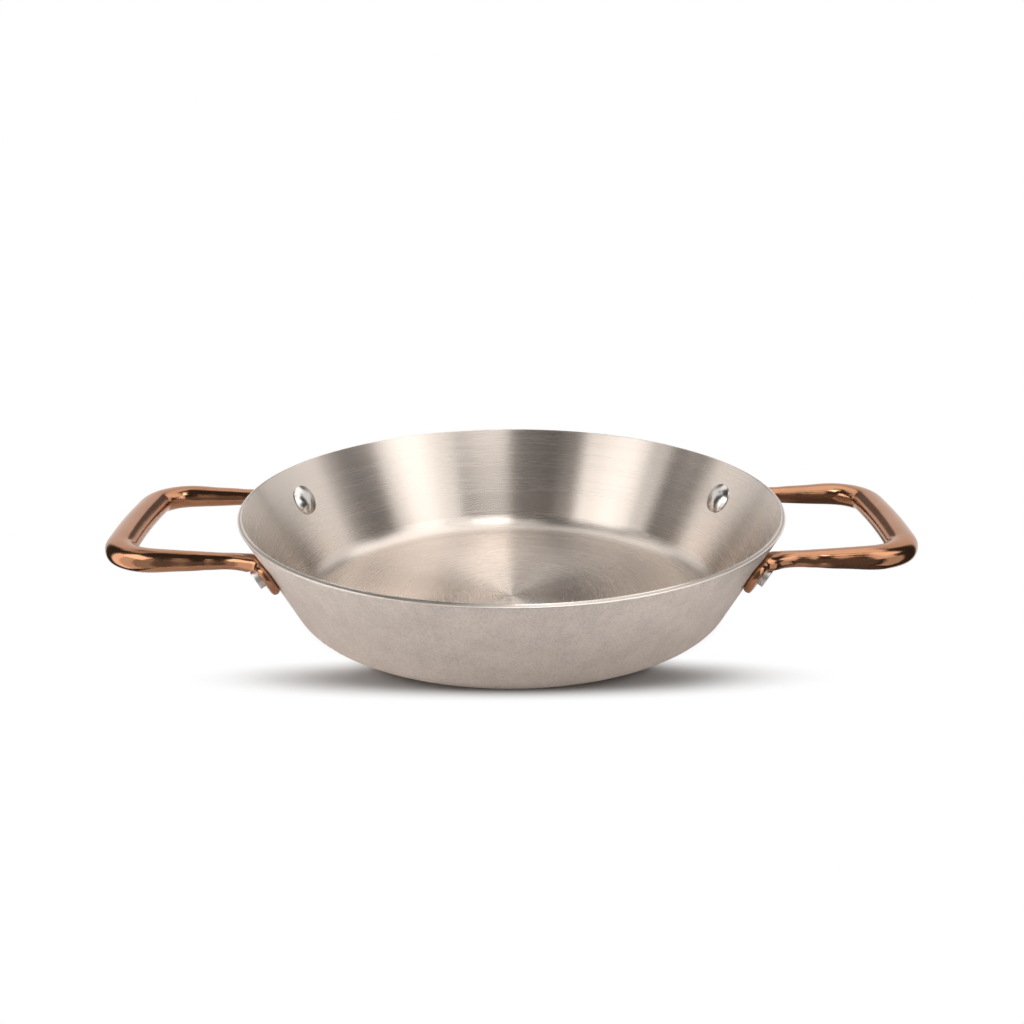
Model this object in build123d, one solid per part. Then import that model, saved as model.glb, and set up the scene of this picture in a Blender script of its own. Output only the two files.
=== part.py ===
from build123d import *
import os
from math import asin, atan2, cos, exp, hypot, pi, sin, sqrt, tan

# A low two-handled frying pan, in millimetres.
# The origin is the centre of the base, on the surface that the pan stands on.
# +Z is up and the two loop handles lie along X.

# Pan body, outside sizes
rim_diameter = 200.0        # outside edge of the rim
base_diameter = 143.7       # flat that the pan stands on
rim_height = 39.5           # outside edge of the rim above the base
knuckle_radius = 11.2       # outside bend between the base and the wall

# Clad sheet, from the outside in
outer_skin = 0.5            # stainless steel
core = 0.8                  # aluminium
inner_skin = 0.5            # stainless steel
rim_round = 0.22            # polished corners of the cut edge

# Rivets, placed on the slope of the wall
rivet_spacing = 77.4        # between the two rivets of one handle, along Y
rivet_drop = 14.3           # down the slope from the outside edge of the rim
shank_diameter = 5.0
head_diameter = 12.0
head_height = 2.2
head_edge = 0.5             # height of the head's thin outer edge
tail_diameter = 7.0
tail_height = 1.9
tail_round = 0.35
rivet_clearance = 0.05      # between the shank and its hole, on the radius
spot_clearance = 0.5        # between the tail and the faced seat round it
spot_depth = 40.0           # reach of the facing tool along the rivet, out past the neck

# Riveting pads at the ends of each handle
pad_width = 19.0
pad_length = 12.4
pad_thickness = 3.0
pad_corner = 5.0
pad_edge_round = 0.9
pad_drop = 0.2              # centre of the pad below its rivet, down the slope

# Loop of each handle
grip_reach = 40.7           # middle of the grip bar beyond the rim, at Y = 0
grip_bow = 2.0              # the ends of the grip bar lie this much nearer to the rim
bow_share = 0.8             # share of the grip bar, between its corners, that is bent in the bow
grip_width = 11.3
grip_height = 8.7
grip_rise = 0.8             # the grip bar lies this much above the middle of the legs
leg_spacing = 70.8          # between the middles of the two legs
leg_drop = 9.4              # middle of the legs below the outside edge of the rim
loop_corner = 14.0          # bend between leg and grip bar, on the centre line
leg_width = 10.2            # beside the corner
leg_height = 8.4            # beside the corner
neck_width = 7.6            # beside the pan
neck_height = 5.6           # beside the pan
neck_reach = 12.0           # from the rivet out to the bend where a leg turns to its pad
neck_bend = 12.0            # radius of that bend
root_spread = 2.0           # the leg grows by this much to either side where it meets its pad
root_flare = 1.2            # it grows by this much up and down there
root_droop = 0.6            # it turns down by this much there
root_lean = 20.0            # degrees that it leans by there, with its outer side down, over the pad
root_length = 3.0           # length over which the growth, the turn and the lean die away
loop_sections = 16          # oval sections that shape each half of the loop
crowding = 1.5              # above 1 the sections crowd together towards the pads

# Worked out once from the sizes above
rim_radius = rim_diameter / 2
base_radius = base_diameter / 2
sheet = outer_skin + core + inner_skin


def slope_of_wall():
    """Angle of the straight wall from the horizontal: a tangent from the knuckle to the rim."""
    run = rim_radius - base_radius
    rise = rim_height - knuckle_radius
    straight = sqrt(run ** 2 + rise ** 2 - knuckle_radius ** 2)
    return atan2(rise, run) + atan2(knuckle_radius, straight)


slope = slope_of_wall()


def skin_line(depth):
    """Half outline of the pan at a depth inside its outer face, from the axis to the rim."""
    start = (0, depth)
    foot = (base_radius, depth)
    bend = knuckle_radius - depth
    top_of_bend = (base_radius + bend * sin(slope), knuckle_radius - bend * cos(slope))
    middle = (base_radius + bend * sin(slope / 2), knuckle_radius - bend * cos(slope / 2))
    rim = (rim_radius - depth * sin(slope), rim_height + depth * cos(slope))
    floor = Line(start, foot)
    knuckle = ThreePointArc(foot, middle, top_of_bend)
    wall = Line(top_of_bend, rim)
    return floor, knuckle, wall


def turned(lines):
    """Turn a closed half outline, drawn as radius and height, round the pan's axis."""
    outline = Face(Wire(lines))
    return revolve(Plane.XZ * outline, Axis.Z, 360)


def ply(near, far):
    """One layer of the clad sheet, between two depths inside the outer face."""
    outside = skin_line(near)
    inside = skin_line(far)
    axis_edge = Line(outside[0] @ 0, inside[0] @ 0)
    rim_edge = Line(outside[2] @ 1, inside[2] @ 1)
    return turned([*outside, rim_edge, *inside, axis_edge])


def rim_corner(body, depth):
    """The round edge of a ply at the rim, at a depth inside the outer face."""
    radius = rim_radius - depth * sin(slope)
    height = rim_height + depth * cos(slope)
    rings = body.edges().filter_by(GeomType.CIRCLE)
    return min(rings, key=lambda ring: hypot(ring.radius - radius, ring.arc_center.Z - height))


def envelope(proud):
    """Everything inside the pan's outer face, or inside a face that lies proud of it."""
    outside = skin_line(-proud)
    rim = outside[2] @ 1
    far_up = (rim.X + rim_height * cos(slope), rim.Y + rim_height * sin(slope))
    wall = Line(rim, far_up)
    lid = Line(far_up, (0, far_up[1]))
    axis_edge = Line((0, far_up[1]), outside[0] @ 0)
    return turned([*outside, wall, lid, axis_edge])


def wall_plane(side, along_y, drop):
    """Plane on the outer face of the wall: X level, Y up the slope and Z straight out.

    side is 1 for the handle at +X and -1 for the one at -X.
    """
    radius = rim_radius - drop * cos(slope)
    turn = asin(along_y / radius)
    out = Vector(side * cos(turn), sin(turn), 0)
    level = Vector(-out.Y, out.X, 0)
    normal = out * sin(slope) - Vector(0, 0, cos(slope))
    point = out * radius + Vector(0, 0, rim_height - drop * sin(slope))
    return Plane(origin=point, x_dir=level, z_dir=normal)


def rivet_plane(side, end):
    """Plane on the outer face of the wall, on the axis of one rivet. end is 1 at the back."""
    return wall_plane(side, end * rivet_spacing / 2, rivet_drop)


def rivet_hole(plane):
    """A cutter for the rivet's hole through the sheet and the pad."""
    radius = shank_diameter / 2 + rivet_clearance
    length = 2 * (sheet + pad_thickness)
    return plane * Cylinder(radius, length)


def all_rivet_holes():
    return [rivet_hole(rivet_plane(side, end)) for side in (-1, 1) for end in (-1, 1)]


def loop_path():
    """Centre line of the handle at +X, seen from above, from its front pad to its back pad."""
    grip = rim_radius + grip_reach
    leg = leg_spacing / 2
    pad = rivet_plane(1, 1).origin
    neck = pad.X + neck_reach
    points = [
        (pad.X, -pad.Y),
        (neck, -leg),
        (grip - grip_bow, -leg),
        (grip, 0),
        (grip - grip_bow, leg),
        (neck, leg),
        (pad.X, pad.Y),
    ]
    bow_half_turn = atan2(grip_bow, leg)
    corner_run = loop_corner * tan((pi / 2 - bow_half_turn) / 2)
    straight = hypot(leg, grip_bow) - corner_run
    bow_radius = bow_share * straight / tan(bow_half_turn)
    radii = [neck_bend, loop_corner, bow_radius, loop_corner, neck_bend]
    return FilletPolyline(*points, radius=radii)


def loop_section(point, tangent):
    """Oval section of the loop at a point of its centre line."""
    neck_end = rim_radius
    corner_start = rim_radius + grip_reach - loop_corner
    along_leg = min(max((point.X - neck_end) / (corner_start - neck_end), 0), 1)
    round_corner = abs(tangent.Y) * along_leg
    width = neck_width + (leg_width - neck_width) * along_leg
    height = neck_height + (leg_height - neck_height) * along_leg
    width += (grip_width - leg_width) * round_corner
    height += (grip_height - leg_height) * round_corner
    from_pad = max(point.X - rivet_plane(1, 1).origin.X - pad_thickness, 0)
    at_root = exp(-from_pad / root_length)
    lift = grip_rise * ((point.X - neck_end) / grip_reach) ** 2 - root_droop * at_root
    centre = Vector(point.X, point.Y, rim_height - leg_drop + lift)
    level = Vector(tangent.Y, -tangent.X, 0)
    half_width = width / 2 + root_spread * at_root
    half_height = height / 2 + root_flare * at_root
    arcs = [
        EllipticalCenterArc((0, 0), half_width, half_height, start_angle=angle, arc_size=90)
        for angle in (45, 135, 225, 315)
    ]
    upright = Plane(origin=centre, x_dir=level, z_dir=tangent)
    return upright.rotated((0, 0, root_lean * at_root)) * make_face(arcs)


def loop():
    """The cast bar of the handle at +X: neck, leg, corner, grip bar, and back again."""
    path = loop_path()
    half = path.length / 2
    first_half = [half * (step / loop_sections) ** crowding for step in range(loop_sections)]
    second_half = [path.length - distance for distance in reversed(first_half)]
    sections = []
    for distance in [*first_half, half, *second_half]:
        point = path.position_at(distance, position_mode=PositionMode.LENGTH)
        tangent = path.tangent_at(distance, position_mode=PositionMode.LENGTH)
        sections.append(loop_section(point, tangent))
    return loft(sections)


def pad(end):
    """Riveting pad of the handle at +X, bent to the wall. end is 1 for the back pad."""
    seat = rivet_plane(1, end)
    outline = Pos(0, -pad_drop) * RectangleRounded(pad_width, pad_length, pad_corner)
    block = extrude(seat * outline, pad_thickness * 2, both=True)
    plate = block & (envelope(pad_thickness) - envelope(0))
    outer_face = max(plate.faces(), key=lambda face: face.center().X)
    return fillet(outer_face.edges(), pad_edge_round)


def handle_at_plus_x():
    """One casting: the loop, its two pads, and a hole and a faced seat for each rivet."""
    body = loop() + pad(-1) + pad(1) - envelope(0)
    spot_radius = tail_diameter / 2 + spot_clearance
    for end in (-1, 1):
        seat = rivet_plane(1, end)
        spot = Cylinder(spot_radius, spot_depth, align=(Align.CENTER, Align.CENTER, Align.MIN))
        body -= seat.offset(pad_thickness) * spot
        body -= rivet_hole(seat)
    return body


def rivet_blank():
    """Solid rivet along Z: domed head below, shank, and the flat tail that is closed over the pad."""
    shank_radius = shank_diameter / 2
    head_radius = head_diameter / 2
    tail_radius = tail_diameter / 2
    head_seat = -sheet
    tail_seat = pad_thickness
    seat_depth = pad_edge_round
    dome_rise = head_height - head_edge
    dome_radius = (head_radius ** 2 + dome_rise ** 2) / (2 * dome_rise)
    edge_height = head_seat - head_edge
    crown = (0, head_seat - head_height)
    half = asin(head_radius / dome_radius) / 2
    on_dome = (dome_radius * sin(half), crown[1] + dome_radius * (1 - cos(half)))
    corners = [
        (head_radius, edge_height),
        (head_radius, head_seat + seat_depth),
        (shank_radius, head_seat + seat_depth),
        (shank_radius, tail_seat - seat_depth),
        (tail_radius, tail_seat - seat_depth),
        (tail_radius, tail_seat + tail_height),
        (0, tail_seat + tail_height),
        crown,
    ]
    dome = ThreePointArc(crown, on_dome, corners[0])
    blank = turned([dome, *Polyline(*corners).edges()])
    tail_rim = blank.edges().filter_by(GeomType.CIRCLE).sort_by(Axis.Z)[-1]
    return fillet(tail_rim, tail_round)


def rivet(side, end, sheet_body, handle):
    """A rivet closed tight: its head takes the curve of the wall and its tail that of the pad."""
    blank = rivet_plane(side, end) * rivet_blank()
    closed = blank - sheet_body - handle
    return max(closed.solids(), key=lambda solid: solid.volume)


def save(name, body):
    body.label = name
    export_step(body, f"parts/{name}.step")


def main():
    os.makedirs("parts", exist_ok=True)
    holes = all_rivet_holes()
    outer = ply(0, outer_skin)
    outer = fillet(rim_corner(outer, 0), rim_round) - holes
    middle = ply(outer_skin, outer_skin + core) - holes
    inner = ply(outer_skin + core, sheet)
    inner = fillet(rim_corner(inner, sheet), rim_round) - holes
    right = handle_at_plus_x()
    left = Rot(0, 0, 180) * right
    save("inner_steel_skin", inner)
    save("aluminium_core", middle)
    save("outer_steel_skin", outer)
    save("right_handle", right)
    save("left_handle", left)
    sheet_body = ply(0, sheet) - holes
    for side, side_name, handle in ((1, "right", right), (-1, "left", left)):
        for end, end_name in ((-1, "front"), (1, "back")):
            save(f"rivet_{side_name}_{end_name}", rivet(side, end, sheet_body, handle))


main()
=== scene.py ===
"""A two-handled frying pan, dressed for a studio photograph.

The clad sheet and the rivets are the frame's own nodes, and get their finishes here. Each loop handle
is cast anew from its node, with softer corners. A light tent, a table and a camera make the studio.
"""
import math

import bpy
from mathutils import Matrix, Vector


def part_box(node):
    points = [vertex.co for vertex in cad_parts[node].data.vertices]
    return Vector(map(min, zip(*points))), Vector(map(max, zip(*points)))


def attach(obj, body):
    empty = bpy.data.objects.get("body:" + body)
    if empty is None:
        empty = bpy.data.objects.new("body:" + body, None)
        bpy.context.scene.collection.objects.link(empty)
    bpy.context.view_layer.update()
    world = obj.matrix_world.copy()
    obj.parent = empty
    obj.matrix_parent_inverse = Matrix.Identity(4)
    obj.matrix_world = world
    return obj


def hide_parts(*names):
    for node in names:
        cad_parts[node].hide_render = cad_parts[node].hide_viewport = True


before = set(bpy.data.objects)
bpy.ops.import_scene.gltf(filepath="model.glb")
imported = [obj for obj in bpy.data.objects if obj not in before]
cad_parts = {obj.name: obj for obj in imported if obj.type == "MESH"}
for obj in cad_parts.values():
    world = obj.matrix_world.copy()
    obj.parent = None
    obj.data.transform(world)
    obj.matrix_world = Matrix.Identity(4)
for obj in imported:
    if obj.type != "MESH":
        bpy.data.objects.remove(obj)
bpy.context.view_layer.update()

bl_info = {
    "name": "Two-handled frying pan",
    "version": (1, 0, 0),
    "blender": (4, 5, 0),
    "location": "View3D > Sidebar > Pan",
    "description": "Finishes, cast handles, table, light and camera for a small frying pan",
    "category": "Object",
}

# The rim, as the frame has it
sheet_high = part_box("outer_steel_skin")[1]
RIM_RADIUS = sheet_high.x
RIM_HEIGHT = sheet_high.z


class PanSheetFinish(bpy.types.PropertyGroup):
    """Colours and textures of the clad sheet."""

    inside_colour: bpy.props.FloatVectorProperty(
        name="Inside colour",
        description="Reflected colour of the brushed inside",
        subtype="COLOR",
        default=(0.73, 0.655, 0.595),
        min=0,
        max=1,
    )
    inside_roughness: bpy.props.FloatProperty(
        name="Inside roughness",
        description="Mean roughness of the brushed inside",
        subtype="FACTOR",
        default=0.265,
        min=0,
        max=1,
    )
    inside_anisotropy: bpy.props.FloatProperty(
        name="Brushing strength",
        description="How far highlights are drawn out across the brush lines",
        subtype="FACTOR",
        default=1.0,
        min=0,
        max=1,
    )
    line_spacing: bpy.props.FloatProperty(
        name="Brush line spacing",
        description="Rough distance between two brush lines",
        unit="LENGTH",
        default=0.0004,
        min=0.0001,
    )
    line_length: bpy.props.FloatProperty(
        name="Brush line length",
        description="Rough length of a brush line at the rim",
        unit="LENGTH",
        default=0.06,
        min=0.001,
    )
    # Painted light: the middle of the floor is painted brighter than the rest, out to this radius and by
    # this level
    painted_light_radius: bpy.props.FloatProperty(
        name="Wear radius",
        description="Distance from the pan's axis at which the brighter, worn middle of the floor ends",
        unit="LENGTH",
        default=0.066,
        min=0.001,
    )
    painted_light_level: bpy.props.FloatProperty(
        name="Wear level",
        description="Brightness of that middle, as a multiple of the rest",
        default=1.19,
        min=1,
    )
    outside_colour: bpy.props.FloatVectorProperty(
        name="Outside colour",
        description="Reflected colour of the tumbled outside",
        subtype="COLOR",
        default=(0.93, 0.84, 0.775),
        min=0,
        max=1,
    )
    outside_roughness: bpy.props.FloatProperty(
        name="Outside roughness",
        description="Mean roughness of the tumbled outside",
        subtype="FACTOR",
        default=0.5,
        min=0,
        max=1,
    )
    streak_spacing: bpy.props.FloatProperty(
        name="Streak spacing",
        description="Rough distance, at the rim, between two faint streaks that run down the outside",
        unit="LENGTH",
        default=0.005,
        min=0.001,
    )
    core_colour: bpy.props.FloatVectorProperty(
        name="Core colour",
        description="Reflected colour of the aluminium line in the rim",
        subtype="COLOR",
        default=(0.50, 0.455, 0.42),
        min=0,
        max=1,
    )


class PanHandleFinish(bpy.types.PropertyGroup):
    """Colours and textures of the cast handles and their rivets."""

    copper_colour: bpy.props.FloatVectorProperty(
        name="Handle colour",
        description="Reflected colour of the rosy plating",
        subtype="COLOR",
        default=(0.455, 0.224, 0.126),
        min=0,
        max=1,
    )
    copper_roughness: bpy.props.FloatProperty(
        name="Handle roughness",
        description="Roughness of the polished plating",
        subtype="FACTOR",
        default=0.15,
        min=0,
        max=1,
    )
    casting_voxel: bpy.props.FloatProperty(
        name="Casting detail",
        description="Size of the cells that the casting is skinned with",
        unit="LENGTH",
        default=0.00035,
        min=0.0002,
    )
    casting_smoothing: bpy.props.IntProperty(
        name="Casting smoothing",
        description="Passes that soften the casting's corners beside the pan",
        default=40,
        min=0,
        max=100,
    )
    root_reach: bpy.props.FloatProperty(
        name="Root reach",
        description="Distance beyond the rim over which the softening dies away",
        unit="LENGTH",
        default=0.012,
        min=0.001,
    )
    far_smoothing: bpy.props.FloatProperty(
        name="Loop smoothing",
        description="Share of the softening that is left on the rest of the loop",
        subtype="FACTOR",
        default=0.3,
        min=0,
        max=1,
    )
    rivet_colour: bpy.props.FloatVectorProperty(
        name="Rivet colour",
        description="Reflected colour of the polished rivets",
        subtype="COLOR",
        default=(0.66, 0.635, 0.61),
        min=0,
        max=1,
    )
    # Beyond this radius a rivet is hammered satin and also painted lighter, as painted light
    tail_radius: bpy.props.FloatProperty(
        name="Tail radius",
        description="Distance from the pan's axis beyond which a rivet is hammered satin",
        unit="LENGTH",
        default=0.0955,
    )


class PanStudio(bpy.types.PropertyGroup):
    """The camera, the light and the table."""

    view_elevation: bpy.props.FloatProperty(
        name="View elevation",
        description="Angle from the horizontal at which the camera sees the rim's centre",
        subtype="ANGLE",
        default=math.radians(18.615),
    )
    view_distance: bpy.props.FloatProperty(
        name="View distance",
        description="From the camera to the rim's centre",
        unit="LENGTH",
        default=0.48,
    )
    focal_pixels: bpy.props.FloatProperty(
        name="Focal length in pixels",
        description="Focal length, in pixels of the square picture",
        default=1290.8,
    )
    picture_size: bpy.props.IntProperty(
        name="Picture size",
        description="Side of the square picture in pixels",
        subtype="PIXEL",
        default=1024,
    )
    rim_centre_pixel: bpy.props.FloatVectorProperty(
        name="Rim centre",
        description="Column and row of the rim's centre in the picture",
        size=2,
        default=(511.41, 501.79),
    )
    aim_height: bpy.props.FloatProperty(
        name="Aim height",
        description="Height of the rim's outside edge, which the camera is set by",
        unit="LENGTH",
        default=0.0395,
    )
    camera_roll: bpy.props.FloatProperty(
        name="Camera roll",
        description="Turn of the camera about its line of sight",
        subtype="ANGLE",
        default=math.radians(-0.233),
    )
    floor_radius: bpy.props.FloatProperty(
        name="Table radius",
        description="Radius of the round white table",
        unit="LENGTH",
        default=0.145,
    )
    patch_radius: bpy.props.FloatProperty(
        name="Patch radius",
        description="Radius of the round patch in which the camera sees the table's own shading",
        unit="LENGTH",
        default=0.071,
    )
    patch_place: bpy.props.FloatProperty(
        name="Patch place",
        description="How far behind the pan's axis the round patch has its middle",
        unit="LENGTH",
        default=0.008,
    )
    patch_fade: bpy.props.FloatProperty(
        name="Patch fade",
        description="Width of the band round the patch in which the table turns to plain white",
        unit="LENGTH",
        default=0.013,
    )
    # The dark oval is a painted shadow: the table is darkened there for the camera
    painted_shadow_reach: bpy.props.FloatProperty(
        name="Oval reach",
        description="Half the length of the dark oval that the camera sees on the table",
        unit="LENGTH",
        default=0.112,
    )
    painted_shadow_depth: bpy.props.FloatProperty(
        name="Oval depth",
        description="Half the depth of the dark oval",
        unit="LENGTH",
        default=0.018,
    )
    painted_shadow_place: bpy.props.FloatProperty(
        name="Oval place",
        description="How far in front of the pan's axis the dark oval has its middle",
        unit="LENGTH",
        default=0.066,
    )
    tent_radius: bpy.props.FloatProperty(
        name="Tent radius",
        description="Radius of the round light tent",
        unit="LENGTH",
        default=0.40,
    )
    tent_height: bpy.props.FloatProperty(
        name="Tent height",
        description="Height of the tent's centre above the table",
        unit="LENGTH",
        default=0.03,
    )
    gap_level: bpy.props.FloatProperty(
        name="Gap level",
        description="Brightness of the gaps between the tent's cloths",
        default=0.05,
        min=0,
    )
    light_level: bpy.props.FloatProperty(
        name="Light level",
        description="Strength of the whole tent, as a multiple of what its cloths are listed with",
        default=1.0,
        min=0,
    )


def shade(colour, factor):
    """A colour made darker or lighter, with its alpha."""
    return (*[min(channel * factor, 1.0) for channel in colour], 1.0)


class Wiring:
    """Adds nodes to a tree. Where a method says what it makes, it returns the socket that holds it."""

    def __init__(self, tree):
        self.tree = tree

    def plug(self, source, target):
        """Link a socket to an input, or write a plain value in it."""
        if isinstance(source, bpy.types.NodeSocket):
            self.tree.links.new(source, target)
        else:
            target.default_value = source

    def feed(self, made, inputs):
        """Give a node its inputs, by name or by number."""
        for name, value in inputs.items():
            self.plug(value, made.inputs[name])

    def node(self, kind, inputs=None, **settings):
        """A new node with its settings and inputs. Returns the node itself."""
        made = self.tree.nodes.new(kind)
        for name, value in settings.items():
            setattr(made, name, value)
        self.feed(made, inputs or {})
        return made

    def place(self):
        """The place of the shaded point on its piece."""
        return self.node("ShaderNodeTexCoord").outputs["Object"]

    def camera_ray(self):
        """1 where the camera looks, 0 for what metal reflects and for the light that reaches a surface."""
        return self.node("ShaderNodeLightPath").outputs["Is Camera Ray"]

    def math(self, operation, *values):
        """The result of a math node."""
        return self.node("ShaderNodeMath", dict(enumerate(values)), operation=operation).outputs[0]

    def weighted(self, *parts):
        """The sum of values times their weights, given in pairs."""
        total, *others = [self.math("MULTIPLY", value, weight) for value, weight in parts]
        for other in others:
            total = self.math("ADD", total, other)
        return total

    def distance(self, x, y):
        """How far the point at x and y lies from the origin."""
        return self.math("SQRT", self.weighted((x, x), (y, y)))

    def split(self, vector):
        """The x, y and z of a vector."""
        return self.node("ShaderNodeSeparateXYZ", {0: vector}).outputs[:3]

    def join(self, x, y, z):
        """The vector of an x, y and z."""
        return self.node("ShaderNodeCombineXYZ", {0: x, 1: y, 2: z}).outputs[0]

    def ramp(self, value, low, high, to_low=0.0, to_high=1.0):
        """Smooth rise from to_low to to_high while value goes from low to high."""
        inputs = {"Value": value, "From Min": low, "From Max": high}
        inputs.update({"To Min": to_low, "To Max": to_high})
        made = self.node("ShaderNodeMapRange", inputs, interpolation_type="SMOOTHSTEP")
        return made.outputs["Result"]

    def noise(self, vector, scale, detail, roughness):
        """Soft random values, mostly near the middle of 0 to 1."""
        inputs = {"Vector": vector, "Scale": scale, "Detail": detail, "Roughness": roughness}
        return self.node("ShaderNodeTexNoise", inputs).outputs["Fac"]

    def tint(self, factor, dark, light):
        """A colour between dark and light. Sockets 6 and 7, and output 2, are the node's colours."""
        return self.node("ShaderNodeMix", {0: factor, 6: dark, 7: light}, data_type="RGBA").outputs[2]

    def tones(self, factor, colour, dark, light):
        """A colour that goes from dark times itself to light times itself."""
        return self.tint(factor, shade(colour, dark), shade(colour, light))

    def bump(self, height, strength, distance):
        """The normal of a surface with slight relief."""
        inputs = {"Height": height, "Strength": strength, "Distance": distance}
        return self.node("ShaderNodeBump", inputs).outputs["Normal"]


def new_group(name, inputs, outputs):
    """A shader node group of plain numbers. Returns its wiring and its input and output nodes."""
    group = bpy.data.node_groups.new(name, "ShaderNodeTree")
    kind = "NodeSocketFloat"
    for socket_name, default in inputs.items():
        socket = group.interface.new_socket(name=socket_name, in_out="INPUT", socket_type=kind)
        socket.default_value = default
    for socket_name in outputs:
        group.interface.new_socket(name=socket_name, in_out="OUTPUT", socket_type=kind)
    wiring = Wiring(group)
    return wiring, wiring.node("NodeGroupInput"), wiring.node("NodeGroupOutput")


def circular_brushing(name):
    """Patterns that follow circles round the pan's axis: fine lines, broader bands, and rays across them."""
    wiring, entry, end = new_group(
        name, {"Line Spacing": 0.0004, "Line Length": 0.02}, ("Lines", "Bands", "Rays")
    )
    hub_radius = 0.0005
    band_width = 0.004
    bands_per_line_length = 0.35
    ray_length = 0.08
    rays_per_line_length = 2.2
    x, y, z = wiring.split(wiring.place())
    radius = wiring.distance(x, y)
    safe_radius = wiring.math("MAXIMUM", radius, hub_radius)
    turns = wiring.math("DIVIDE", RIM_RADIUS, entry.outputs["Line Length"])
    round_x = wiring.math("MULTIPLY", wiring.math("DIVIDE", x, safe_radius), turns)
    round_y = wiring.math("MULTIPLY", wiring.math("DIVIDE", y, safe_radius), turns)
    across = wiring.math("ADD", radius, z)
    patterns = {
        "Lines": (1.0, entry.outputs["Line Spacing"], 3.0, 0.6),
        "Bands": (bands_per_line_length, band_width, 2.0, 0.5),
        "Rays": (rays_per_line_length, ray_length, 2.0, 0.5),
    }
    for pattern, (along, width, detail, roughness) in patterns.items():
        vector = wiring.join(
            wiring.math("MULTIPLY", round_x, along),
            wiring.math("MULTIPLY", round_y, along),
            wiring.math("DIVIDE", across, width),
        )
        wiring.plug(wiring.noise(vector, 1.0, detail, roughness), end.inputs[pattern])


def tumbled_mottle(name):
    """Specks and soft blotches, as on metal tumbled with stones or handled by hand."""
    wiring, entry, end = new_group(
        name, {"Speck Size": 0.0008, "Blotch Size": 0.009}, ("Specks", "Blotches")
    )
    patterns = {"Specks": ("Speck Size", 3.0, 0.65), "Blotches": ("Blotch Size", 4.0, 0.6)}
    for pattern, (size, detail, roughness) in patterns.items():
        scale = wiring.math("DIVIDE", 1.0, entry.outputs[size])
        wiring.plug(wiring.noise(wiring.place(), scale, detail, roughness), end.inputs[pattern])


SHARED_GROUPS = {"circular_brushing": circular_brushing, "tumbled_mottle": tumbled_mottle}
# Most of a noise lies between these, so that a ramp from one to the other uses all its tones
NOISE_RANGE = (0.3, 0.7)


def shared(wiring, name, inputs=None):
    """The outputs of a shared group with its own inputs. The first finish that asks has it built."""
    if name not in bpy.data.node_groups:
        SHARED_GROUPS[name](name)
    group = bpy.data.node_groups[name]
    return wiring.node("ShaderNodeGroup", inputs, node_tree=group).outputs


def new_metal(name):
    """A material with a metal shader. Returns the material, its wiring and the shader."""
    material = bpy.data.materials.new(name)
    material.use_nodes = True
    shader = material.node_tree.nodes["Principled BSDF"]
    shader.inputs["Metallic"].default_value = 1.0
    return material, Wiring(material.node_tree), shader


def with_cut_edge(wiring, colour, edge_colour):
    """A colour, and another one on the cut edge of the rim: near its height and facing up."""
    starts_below, full_below = 0.0035, 0.0015
    slanted, flat = 0.58, 0.75
    coordinates = wiring.node("ShaderNodeTexCoord")
    height = wiring.split(coordinates.outputs["Object"])[2]
    facing_up = wiring.split(coordinates.outputs["Normal"])[2]
    near_rim = wiring.ramp(height, RIM_HEIGHT - starts_below, RIM_HEIGHT - full_below)
    edge = wiring.math("MULTIPLY", near_rim, wiring.ramp(facing_up, slanted, flat))
    return wiring.tint(edge, colour, edge_colour)


def brushed_inside(finish):
    """Stainless steel brushed in circles, with painted light that makes the middle of the floor brighter."""
    line_share, band_share = 0.6, 0.4
    line_contrast = (0.28, 0.72)
    dark_line, light_line = 0.972, 1.022
    full_painted_light = 0.6
    roughness_spread = 0.013
    grain_along_circles = 0.25
    material, wiring, shader = new_metal("brushed_inside_steel")
    sizes = {"Line Spacing": finish.line_spacing, "Line Length": finish.line_length}
    brush = shared(wiring, "circular_brushing", sizes)
    marks = wiring.weighted((brush["Lines"], line_share), (brush["Bands"], band_share))
    tone = wiring.ramp(marks, *line_contrast)
    x, y, _ = wiring.split(wiring.place())
    # Painted light: 1 in the middle of the floor, where the colour is made brighter, and 0 beyond
    painted_light = wiring.ramp(
        wiring.distance(x, y), full_painted_light * finish.painted_light_radius, finish.painted_light_radius, 1.0, 0.0
    )
    dark_colour, light_colour = (
        wiring.tones(painted_light, finish.inside_colour, dark=level, light=level * finish.painted_light_level)
        for level in (dark_line, light_line)
    )
    smoothest = finish.inside_roughness - roughness_spread
    roughest = finish.inside_roughness + roughness_spread
    tangent = wiring.node("ShaderNodeTangent", direction_type="RADIAL", axis="Z")
    colour = wiring.tint(tone, dark_colour, light_colour)
    wiring.feed(shader, {
        "Base Color": with_cut_edge(wiring, colour, shade(finish.inside_colour, 1.0)),
        "Roughness": wiring.ramp(tone, 0.0, 1.0, smoothest, roughest),
        "Anisotropic": finish.inside_anisotropy,
        "Anisotropic Rotation": grain_along_circles,
        "Tangent": tangent.outputs[0],
    })
    return material


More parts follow.
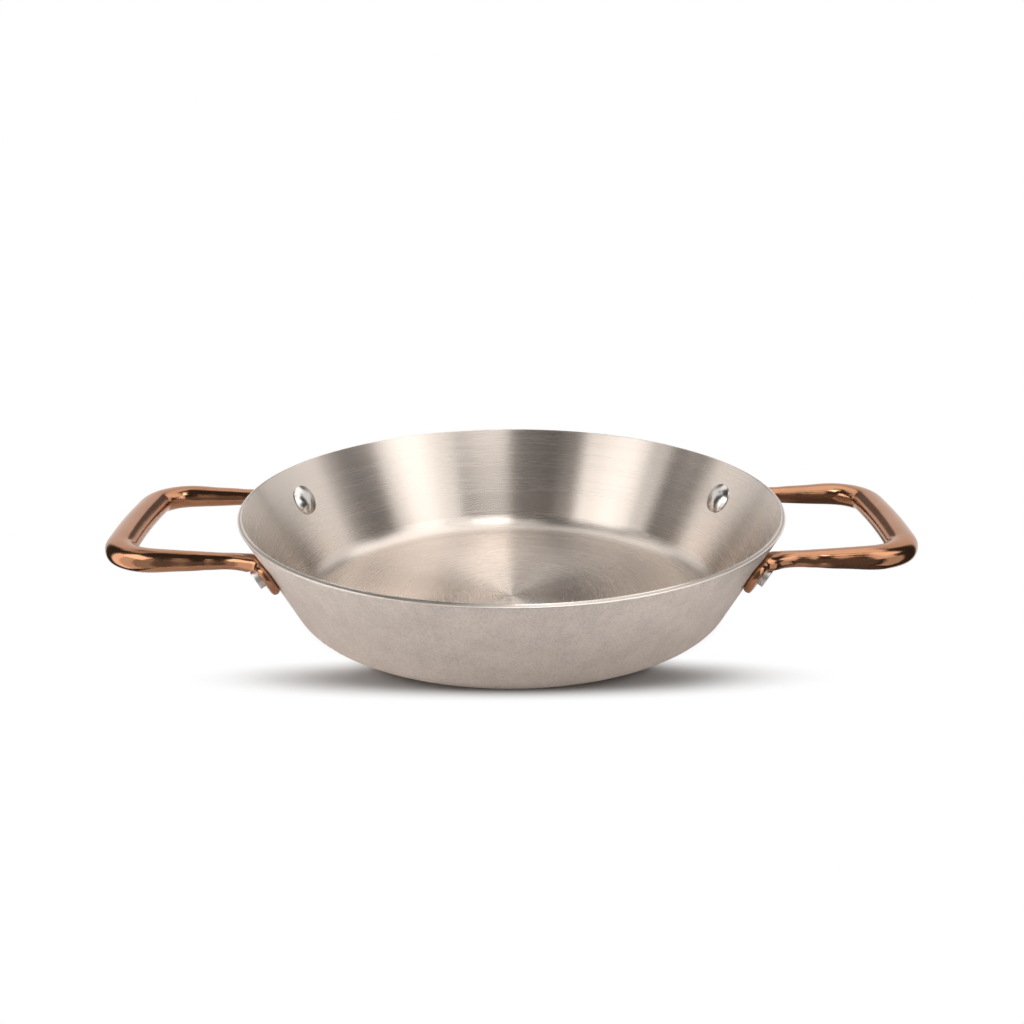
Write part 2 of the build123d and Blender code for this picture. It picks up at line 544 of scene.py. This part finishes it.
def tumbled_outside(finish):
    """Stainless steel tumbled to a fine, slightly blotchy matt."""
    speck_share, blotch_share, streak_share = 0.5, 0.38, 0.12
    speck_contrast = (0.32, 0.62)
    cut_edge_level = 1.02
    material, wiring, shader = new_metal("tumbled_outside_steel")
    mottle = shared(wiring, "tumbled_mottle")
    brush = shared(wiring, "circular_brushing", {"Line Length": finish.streak_spacing})
    tone = wiring.weighted(
        (wiring.ramp(mottle["Specks"], *speck_contrast), speck_share),
        (wiring.ramp(mottle["Blotches"], *NOISE_RANGE), blotch_share),
        (wiring.ramp(brush["Rays"], *NOISE_RANGE), streak_share),
    )
    roughest = finish.outside_roughness + 0.08
    smoothest = finish.outside_roughness - 0.06
    colour = wiring.tones(tone, finish.outside_colour, dark=0.82, light=1.06)
    wiring.feed(shader, {
        "Base Color": with_cut_edge(wiring, colour, shade(finish.outside_colour, cut_edge_level)),
        "Roughness": wiring.ramp(tone, 0.0, 1.0, roughest, smoothest),
        "Normal": wiring.bump(mottle["Specks"], strength=0.25, distance=0.0001),
    })
    return material


def core_line(finish):
    """Bare aluminium, cut and lightly polished."""
    smoothest, roughest = 0.35, 0.45
    material, wiring, shader = new_metal("cut_aluminium_core")
    mottle = shared(wiring, "tumbled_mottle")
    wiring.feed(shader, {
        "Base Color": wiring.tones(mottle["Specks"], finish.core_colour, dark=0.85, light=1.05),
        "Roughness": wiring.ramp(mottle["Blotches"], *NOISE_RANGE, smoothest, roughest),
    })
    return material


def copper_plating(finish):
    """Polished casting plated a rosy copper colour."""
    material, wiring, shader = new_metal("copper_plated_casting")
    mottle = shared(wiring, "tumbled_mottle", {"Speck Size": 0.0012, "Blotch Size": 0.012})
    tone = wiring.ramp(mottle["Blotches"], *NOISE_RANGE)
    smoothest = finish.copper_roughness - 0.01
    roughest = finish.copper_roughness + 0.015
    wiring.feed(shader, {
        "Base Color": wiring.tones(tone, finish.copper_colour, dark=0.94, light=1.04),
        "Roughness": wiring.ramp(mottle["Specks"], *NOISE_RANGE, smoothest, roughest),
        "Normal": wiring.bump(mottle["Blotches"], strength=0.06, distance=0.0004),
    })
    return material


def rivet_steel(finish):
    """Polished steel with faint handling marks, hammered satin at the tails outside the pan, whose colour is
    also painted lighter there as painted light.
    """
    tail_fade = 0.001
    # How much lighter the tails are painted, as painted light; their extra roughness is the real hammered
    # satin
    tail_painted_light = 1.33
    smoothest, roughest = 0.17, 0.23
    hammered = 0.28
    material, wiring, shader = new_metal("polished_rivet_steel")
    mottle = shared(wiring, "tumbled_mottle", {"Speck Size": 0.0006, "Blotch Size": 0.004})
    x, y, _ = wiring.split(wiring.place())
    tail = wiring.ramp(wiring.distance(x, y), finish.tail_radius, finish.tail_radius + tail_fade)
    colour = wiring.tones(mottle["Specks"], finish.rivet_colour, dark=0.94, light=1.04)
    polish = wiring.ramp(mottle["Blotches"], *NOISE_RANGE, smoothest, roughest)
    wiring.feed(shader, {
        "Base Color": wiring.tint(tail, colour, shade(finish.rivet_colour, tail_painted_light)),
        "Roughness": wiring.math("ADD", polish, wiring.math("MULTIPLY", tail, hammered)),
    })
    return material


def dress(node_name, material):
    """Give a node of the frame its material."""
    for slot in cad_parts[node_name].material_slots:
        slot.material = material


class PAN_OT_sheet(bpy.types.Operator):
    """Finish the three layers of the clad sheet"""

    bl_idname = "pan.sheet"
    bl_label = "Clad sheet"

    def execute(self, context):
        finish = context.scene.pan_sheet
        dress("inner_steel_skin", brushed_inside(finish))
        dress("outer_steel_skin", tumbled_outside(finish))
        dress("aluminium_core", core_line(finish))
        return {"FINISHED"}


def apply_modifier(piece, kind, **settings):
    """Add a modifier with its settings and apply it."""
    modifier = piece.modifiers.new(kind.lower(), kind)
    for name, value in settings.items():
        setattr(modifier, name, value)
    bpy.ops.object.modifier_apply(modifier=modifier.name)


def weigh_softening(casting, finish):
    """Weigh the casting's points, fully beside the pan and by the loop's share beyond its roots. Returns
    the vertex group's name.
    """
    near_pan = casting.vertex_groups.new(name="near_pan")
    for vertex in casting.data.vertices:
        beyond_rim = (abs(vertex.co.x) - RIM_RADIUS) / finish.root_reach
        weight = min(max(1.0 - beyond_rim, finish.far_smoothing), 1.0)
        near_pan.add([vertex.index], weight, "REPLACE")
    return near_pan.name


def cast_handle(node_name, finish, plating):
    """A handle in one smooth skin, with soft corners where its necks run into its pads."""
    merge_distance = 1e-6
    bpy.ops.object.select_all(action="DESELECT")
    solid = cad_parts[node_name]
    casting = bpy.data.objects.new(f"{node_name}_casting", solid.data.copy())
    bpy.context.scene.collection.objects.link(casting)
    bpy.context.view_layer.objects.active = casting
    casting.select_set(True)
    bpy.ops.object.mode_set(mode="EDIT")
    bpy.ops.mesh.select_all(action="SELECT")
    bpy.ops.mesh.remove_doubles(threshold=merge_distance)
    bpy.ops.mesh.normals_make_consistent(inside=False)
    bpy.ops.object.mode_set(mode="OBJECT")
    apply_modifier(casting, "REMESH", mode="VOXEL", voxel_size=finish.casting_voxel)
    softened = weigh_softening(casting, finish)
    passes = finish.casting_smoothing
    apply_modifier(casting, "SMOOTH", factor=0.5, iterations=passes, vertex_group=softened)
    bpy.ops.object.shade_smooth()
    casting.data.materials.clear()
    casting.data.materials.append(plating)
    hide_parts(node_name)
    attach(casting, "root")


class PAN_OT_handles(bpy.types.Operator):
    """Cast the two loop handles and plate them"""

    bl_idname = "pan.handles"
    bl_label = "Handles"

    def execute(self, context):
        finish = context.scene.pan_handle
        plating = copper_plating(finish)
        for side in ("right", "left"):
            cast_handle(f"{side}_handle", finish, plating)
        return {"FINISHED"}


class PAN_OT_rivets(bpy.types.Operator):
    """Finish the four rivets"""

    bl_idname = "pan.rivets"
    bl_label = "Rivets"

    def execute(self, context):
        steel = rivet_steel(context.scene.pan_handle)
        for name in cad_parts:
            if name.startswith("rivet_"):
                dress(name, steel)
        return {"FINISHED"}


WHITE = (1.0, 1.0, 1.0, 1.0)
CLOTH_COLOUR = (1.0, 0.985, 0.97, 1.0)
# The lit cloths of the tent: centre, half width, lowest, highest, softness and strength. Angles are in
# degrees, sideways from the front, positive to the right, and upwards from the tent's centre. They don't
# run on past 180, so what hangs across the back is two cloths that meet there.
TENT_CLOTHS = {
    "left strip": (-81, 9.5, -40, 31, 3, 1.9),
    "left side": (-66, 14, -40, 36, 4, 1.2),
    "left side, high": (-64, 20, 28, 50, 2.5, 2.8),
    "front left": (-40, 12, -40, 41, 5, 0.58),
    "front left of the middle": (-20, 12, -40, 30, 4, 0.2),
    "front": (15, 24, -40, 34, 4, 0.17),
    "back, left half, middle height": (-165, 20, 10, 42, 3, 0.17),
    "back, right half, middle height": (165, 20, 10, 42, 3, 0.2),
    "rear left, narrow": (-119, 8, 34, 45, 3, 0.9),
    "rear left, high": (-122, 20, 44, 54, 4, 0.8),
    "rear left": (-140, 20.5, -40, 38, 3, 0.98),
    "back, left half, low": (-172, 14, -40, 17, 3, 0.9),
    "back, right half, low": (172, 14, -40, 15, 3, 0.85),
    "back, left half, high": (-168, 30, 38, 66, 4, 1.3),
    "back, right half, high": (165, 35, 38, 66, 4, 1.6),
    "rear right": (135, 24, -40, 46, 4, 0.95),
    "right side, low": (60, 13, -40, 14, 3, 0.85),
    "front right": (49, 15.5, 14, 50, 3, 1.4),
    "right side, high": (66, 16, 28, 62, 3, 2.0),
    "rear right, high": (124, 46, 50, 74, 4, 1.6),
    "roof, front right": (34, 32, 65, 86, 4, 5.2),
    "top": (0, 200, 80, 92, 3, 1.7),
}


def new_stage_material(name):
    """A material with no nodes yet. Returns it and its wiring."""
    material = bpy.data.materials.new(name)
    material.use_nodes = True
    material.node_tree.nodes.clear()
    return material, Wiring(material.node_tree)


def finish_surface(wiring, share, first, second):
    """End a material in a mix of two shaders."""
    mixed = wiring.node("ShaderNodeMixShader", {0: share, 1: first.outputs[0], 2: second.outputs[0]})
    wiring.node("ShaderNodeOutputMaterial", {"Surface": mixed.outputs[0]})


def light_the_studio():
    """Plain white for the camera alone. All the light comes from the tent."""
    world = bpy.data.worlds.new("studio")
    bpy.context.scene.world = world
    world.use_nodes = True
    world.node_tree.nodes.clear()
    wiring = Wiring(world.node_tree)
    plain = wiring.node("ShaderNodeBackground", {"Color": WHITE, "Strength": wiring.camera_ray()})
    wiring.node("ShaderNodeOutputWorld", {"Surface": plain.outputs[0]})


def window(wiring, angle, centre, half_width, softness):
    """1 where angle is within half_width of centre, with soft edges."""
    away = wiring.math("ABSOLUTE", wiring.math("SUBTRACT", angle, centre))
    return wiring.ramp(away, half_width - softness, half_width + softness, 1.0, 0.0)


def tent_cloth(studio):
    """Lit cloths and dim gaps, which the camera looks through."""
    to_degrees = 180 / math.pi
    material, wiring = new_stage_material("tent_cloth")
    x, y, z = wiring.split(wiring.place())
    turn = wiring.math("ARCTAN2", x, wiring.math("MULTIPLY", y, -1.0))
    rise = wiring.math("ARCSINE", wiring.math("DIVIDE", z, studio.tent_radius))
    across = wiring.math("MULTIPLY", turn, to_degrees)
    height = wiring.math("MULTIPLY", rise, to_degrees)
    level = studio.gap_level
    for centre, half_width, lowest, highest, softness, strength in TENT_CLOTHS.values():
        sideways = window(wiring, across, centre, half_width, softness)
        upwards = window(wiring, height, (lowest + highest) / 2, (highest - lowest) / 2, softness)
        glow = wiring.math("MULTIPLY", wiring.math("MULTIPLY", sideways, upwards), strength)
        level = wiring.math("MAXIMUM", level, glow)
    level = wiring.math("MULTIPLY", level, studio.light_level)
    cloth = wiring.node("ShaderNodeEmission", {"Color": CLOTH_COLOUR, "Strength": level})
    clear = wiring.node("ShaderNodeBsdfTransparent")
    finish_surface(wiring, wiring.camera_ray(), cloth, clear)
    return material


def hang_the_tent(studio):
    """A round light tent, with the pan and the table inside."""
    bpy.ops.object.select_all(action="DESELECT")
    bpy.ops.mesh.primitive_uv_sphere_add(
        segments=64, ring_count=32, radius=studio.tent_radius, location=(0, 0, studio.tent_height)
    )
    tent = bpy.context.object
    tent.name = "light_tent"
    tent.data.materials.append(tent_cloth(studio))


def table_paper(studio):
    """White paper. The camera sees its shading in a round patch under the pan and in an oval under the
    pan's front, which is darkened for it with a painted shadow, and plain white beyond both. For all
    other rays the paper turns dark past the pan's right side.
    """
    pale = (0.94, 0.94, 0.94, 1.0)
    # The painted shadow's colour in the oval, and the dark side of the paper that the metal sees
    dark = (0.2, 0.195, 0.2, 1.0)
    # Darkness of the painted shadow at the oval's middle
    painted_shadow_darkness = 0.88
    darkest_to = 0.2
    own_shading_to = 0.45
    dark_side_from, dark_side_full = 0.102, 0.12
    material, wiring = new_stage_material("white_table")
    x, y, _ = wiring.split(wiring.place())
    from_patch = wiring.distance(x, wiring.math("SUBTRACT", y, studio.patch_place))
    in_front = wiring.math("ADD", y, studio.painted_shadow_place)
    # 0 in the middle of the oval and 1 at its edge
    in_oval = wiring.distance(
        wiring.math("DIVIDE", x, studio.painted_shadow_reach), wiring.math("DIVIDE", in_front, studio.painted_shadow_depth)
    )
    beyond_patch = wiring.ramp(from_patch, studio.patch_radius, studio.patch_radius + studio.patch_fade)
    beyond_both = wiring.math("MINIMUM", beyond_patch, wiring.ramp(in_oval, own_shading_to, 1.0))
    seen = wiring.camera_ray()
    unseen = wiring.math("SUBTRACT", 1.0, seen)
    # Painted shadow: for the camera the paper is darkened in the oval, most in its middle
    oval = wiring.math("MULTIPLY", wiring.ramp(in_oval, darkest_to, 1.0, painted_shadow_darkness, 0.0), seen)
    side = wiring.math("MULTIPLY", wiring.ramp(x, dark_side_from, dark_side_full), unseen)
    colour = wiring.tint(wiring.math("MAXIMUM", oval, side), pale, dark)
    paper = wiring.node("ShaderNodeBsdfDiffuse", {"Color": colour})
    white = wiring.node("ShaderNodeEmission", {"Color": WHITE, "Strength": 1.0})
    finish_surface(wiring, wiring.math("MULTIPLY", beyond_both, seen), paper, white)
    return material


def lay_the_table(studio):
    """A round table top."""
    bpy.ops.object.select_all(action="DESELECT")
    bpy.ops.mesh.primitive_circle_add(
        vertices=128, radius=studio.floor_radius, fill_type="NGON", location=(0, 0, 0)
    )
    table = bpy.context.object
    table.name = "table"
    table.data.materials.append(table_paper(studio))


def place_the_camera(studio):
    """The camera stands in front, looking down a little, with the rim's centre at its pixel."""
    lens = bpy.data.cameras.new("camera")
    lens.sensor_fit = "HORIZONTAL"
    lens.sensor_width = 36.0
    lens.lens = studio.focal_pixels / studio.picture_size * lens.sensor_width
    camera = bpy.data.objects.new("camera", lens)
    bpy.context.scene.collection.objects.link(camera)
    bpy.context.scene.camera = camera
    elevation = studio.view_elevation
    rim_centre = Vector((0, 0, studio.aim_height))
    away = Vector((0, -math.cos(elevation), math.sin(elevation)))
    half = studio.picture_size / 2
    column, row = studio.rim_centre_pixel
    turn_right = math.atan((half - column) / studio.focal_pixels)
    tilt_down = math.atan((half - row) / studio.focal_pixels)
    upright = Matrix.Rotation(math.pi / 2 - elevation, 4, "X")
    nudge = Matrix.Rotation(-turn_right, 4, "Y") @ Matrix.Rotation(-tilt_down, 4, "X")
    roll = Matrix.Rotation(studio.camera_roll, 4, "Z")
    place = Matrix.Translation(rim_centre + away * studio.view_distance)
    camera.matrix_world = place @ upright @ nudge @ roll


class PAN_OT_stage(bpy.types.Operator):
    """Set the table, the light and the camera"""

    bl_idname = "pan.stage"
    bl_label = "Stage"

    def execute(self, context):
        studio = context.scene.pan_studio
        light_the_studio()
        hang_the_tent(studio)
        lay_the_table(studio)
        place_the_camera(studio)
        context.scene.view_settings.view_transform = "Standard"
        return {"FINISHED"}


# The settings on the scene, and the operators that use them
SETTINGS = {"pan_sheet": PanSheetFinish, "pan_handle": PanHandleFinish, "pan_studio": PanStudio}
STEPS = {
    "pan_sheet": ("pan.sheet",),
    "pan_handle": ("pan.handles", "pan.rivets"),
    "pan_studio": ("pan.stage",),
}


class PAN_PT_panel(bpy.types.Panel):
    """Sizes, colours and steps of the pan"""

    bl_label = "Frying pan"
    bl_idname = "PAN_PT_panel"
    bl_space_type = "VIEW_3D"
    bl_region_type = "UI"
    bl_category = "Pan"

    def draw(self, context):
        for group, operators in STEPS.items():
            settings = getattr(context.scene, group)
            column = self.layout.column()
            for name in settings.bl_rna.properties.keys():
                if name not in ("name", "rna_type"):
                    column.prop(settings, name)
            for operator in operators:
                column.operator(operator)


CLASSES = (*SETTINGS.values(), PAN_OT_sheet, PAN_OT_handles, PAN_OT_rivets, PAN_OT_stage, PAN_PT_panel)


def register():
    """Register the classes and give every scene its settings."""
    for item in CLASSES:
        bpy.utils.register_class(item)
    for name, settings in SETTINGS.items():
        setattr(bpy.types.Scene, name, bpy.props.PointerProperty(type=settings))


def unregister():
    """Take back what register did."""
    for name in SETTINGS:
        delattr(bpy.types.Scene, name)
    for item in reversed(CLASSES):
        bpy.utils.unregister_class(item)


def main():
    """Dress the pan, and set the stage."""
    register()
    bpy.ops.pan.sheet()
    bpy.ops.pan.handles()
    bpy.ops.pan.rivets()
    bpy.ops.pan.stage()


if __name__ == "__main__":
    main()
